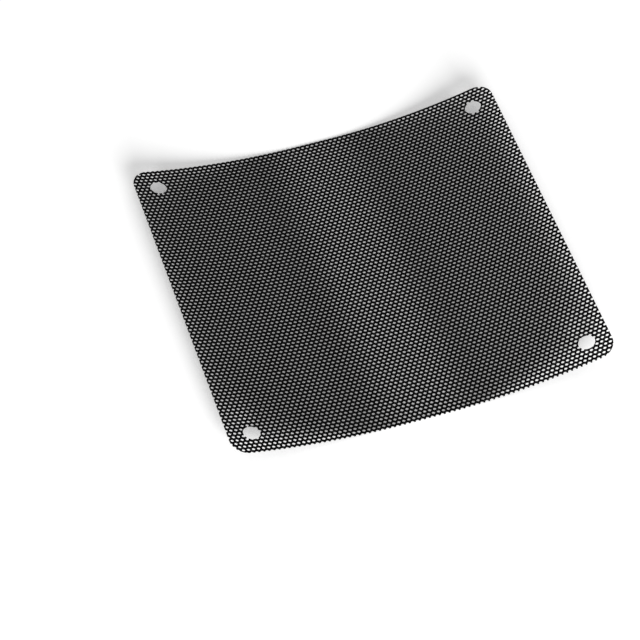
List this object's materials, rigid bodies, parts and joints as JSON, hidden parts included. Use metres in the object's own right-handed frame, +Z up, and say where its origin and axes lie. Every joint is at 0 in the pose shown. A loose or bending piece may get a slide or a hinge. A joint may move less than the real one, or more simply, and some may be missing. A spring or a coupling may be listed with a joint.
{
  "type": "fan dust filter",
  "caption": "Square perforated plastic film with rounded corners and four screw holes, gently curled, that keeps dust out of a case fan.",
  "frame": {"origin": "centre of the footprint on the surface that the filter lies on", "axes": "+Z up, away from the table; +X across the curl, towards the side that rises more; +Y along the curl"},
  "size_m": [0.1188, 0.12, 0.0083],
  "materials": {
    "black_film": "matte black PVC film"
  },
  "bodies": {
    "root": {"dust_filter": "black_film"}
  },
  "joints": []
}
